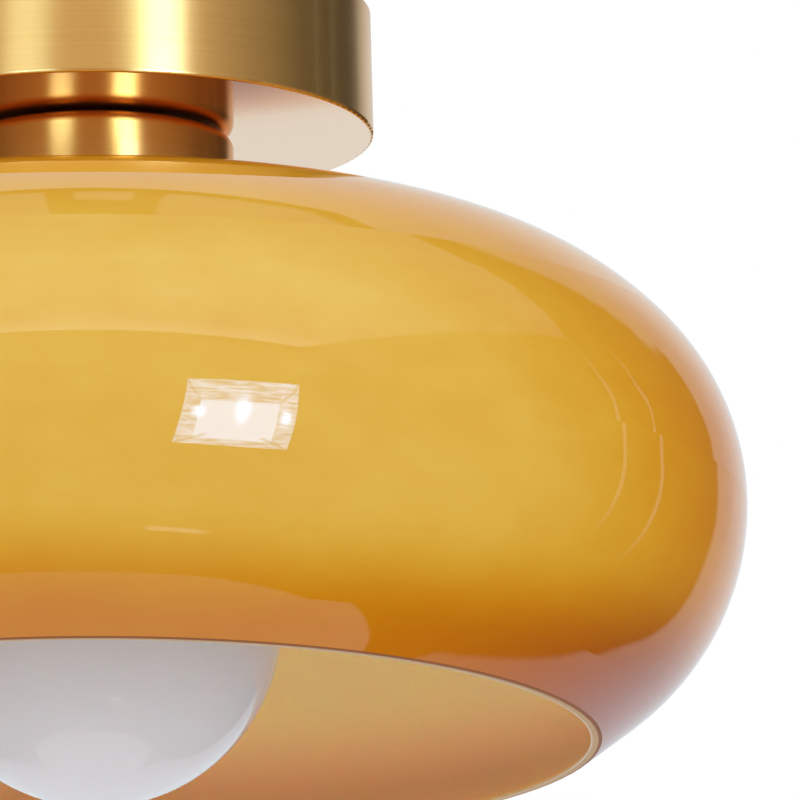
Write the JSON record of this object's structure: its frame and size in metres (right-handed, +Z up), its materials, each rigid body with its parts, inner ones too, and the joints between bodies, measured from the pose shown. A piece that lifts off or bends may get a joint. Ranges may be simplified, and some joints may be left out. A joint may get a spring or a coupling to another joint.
{
  "type": "flush mount ceiling light",
  "caption": "Flush ceiling light with a round brass canopy and collar, a wide open-bottomed amber glass shade and an opal globe bulb",
  "frame": {"origin": "middle of the bracket's top face, in the plane of the ceiling", "axes": "+Z up through the ceiling, the light hangs towards -Z; +X along the bracket and its two slots"},
  "size_m": [0.28, 0.28, 0.1736],
  "materials": {
    "brushed_brass": "lathe-brushed side, polished underside, clear lacquer",
    "plated_steel": "bright zinc plate",
    "terminal_brass": "as turned",
    "tinned_copper": "tinned, dull bright",
    "white_plastic": "moulded, satin",
    "black_plastic": "moulded, semi-gloss",
    "white_ceramic": "unglazed, smooth",
    "black_rubber": "matte",
    "clear_silicone": "translucent, matte",
    "brown_sleeve": "smooth sleeve",
    "blue_sleeve": "smooth sleeve",
    "green_sleeve": "smooth sleeve, green with yellow",
    "amber_glass": "cased glass, glossy outside, matte inside",
    "opal_glass": "glossy opal white",
    "clear_glass": "clear",
    "black_glass": "glossy fused insulator",
    "filament_coat": "yellow phosphor coat"
  },
  "bodies": {
    "fitting": {"canopy": "brushed_brass", "mounting_bracket": "plated_steel", "canopy_side_screws": "brushed_brass", "earth_screw": "terminal_brass", "earth_tag": "tinned_copper", "terminal_block": "white_plastic", "terminal_barrels": "terminal_brass", "terminal_screws": "plated_steel", "terminal_block_screw": "plated_steel", "threaded_nipple": "plated_steel", "lock_washer": "plated_steel", "canopy_nut": "terminal_brass", "spacer_washer": "black_rubber", "collar": "brushed_brass", "collar_nut": "terminal_brass", "holder_cap": "black_plastic", "holder_skirt": "black_plastic", "holder_core": "white_ceramic", "holder_terminals": "terminal_brass", "holder_terminal_screws": "plated_steel", "holder_screw_shell": "plated_steel", "holder_centre_contact": "terminal_brass", "live_lead": "brown_sleeve", "neutral_lead": "blue_sleeve", "earth_lead": "green_sleeve", "upper_gasket": "clear_silicone"},
    "shade": {"glass_shade": "amber_glass", "lower_gasket": "clear_silicone"},
    "ring": {"shade_ring": "black_plastic"},
    "bulb_foot": {"bulb_contact": "tinned_copper"},
    "bulb": {"bulb_insulator": "black_glass", "bulb_screw_cap": "plated_steel", "bulb_globe": "opal_glass", "bulb_stem": "clear_glass", "bulb_filaments": "filament_coat"}
  },
  "joints": [
    {"name": "shade_lower", "type": "slide", "parent": "fitting", "child": "shade", "axis": [0, 0, -1], "range_m": [0, 0.024]},
    {"name": "ring_turn", "type": "hinge", "parent": "shade", "child": "ring", "pos_m": [0, 0, -0.053], "axis": [0, 0, -1], "range_deg": [0, 3460]},
    {"name": "bulb_lower", "type": "slide", "parent": "fitting", "child": "bulb_foot", "axis": [0, 0, -1], "range_m": [0, 0.0145]},
    {"name": "bulb_turn", "type": "hinge", "parent": "bulb_foot", "child": "bulb", "pos_m": [0, 0, -0.08], "axis": [0, 0, -1], "range_deg": [0, 1440]}
  ],
  "couplings": [
    {"joint": "ring_turn", "follows": "shade_lower", "rad_per_m": 2513.3},
    {"joint": "bulb_turn", "follows": "bulb_lower", "rad_per_m": 1731.4}
  ]
}
